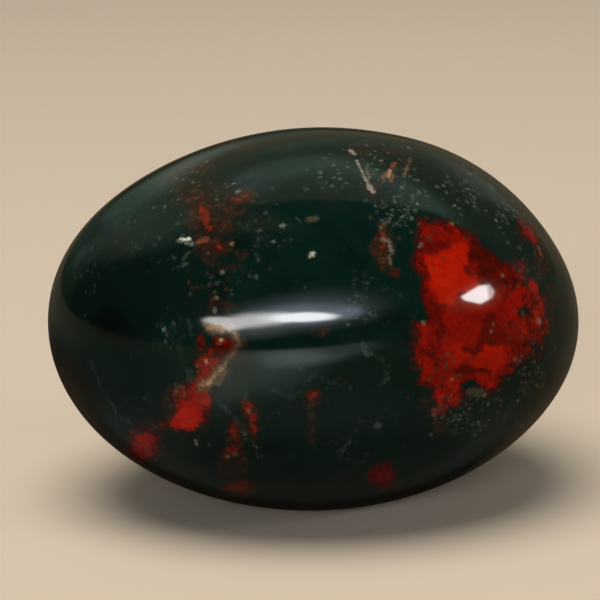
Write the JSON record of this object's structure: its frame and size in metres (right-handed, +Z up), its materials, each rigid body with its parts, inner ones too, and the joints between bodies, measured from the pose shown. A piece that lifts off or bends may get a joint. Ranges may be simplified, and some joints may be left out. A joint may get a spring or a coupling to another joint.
{
  "type": "polished bloodstone pebble",
  "caption": "Smooth oval pebble of polished dark green chalcedony with red jasper patches, flecks and streaks, resting on a small ground foot.",
  "frame": {"origin": "on the surface that the stone rests on, below the middle of its bounding box", "axes": "+X along the stone's longest extent, towards the end with the large red patch; +Y from the face seen in the picture towards the back; +Z up, the stone's shortest extent"},
  "size_m": [0.0498, 0.0396, 0.0352],
  "materials": {
    "polished_bloodstone": "polished"
  },
  "bodies": {
    "root": {"bloodstone": "polished_bloodstone"}
  },
  "joints": []
}
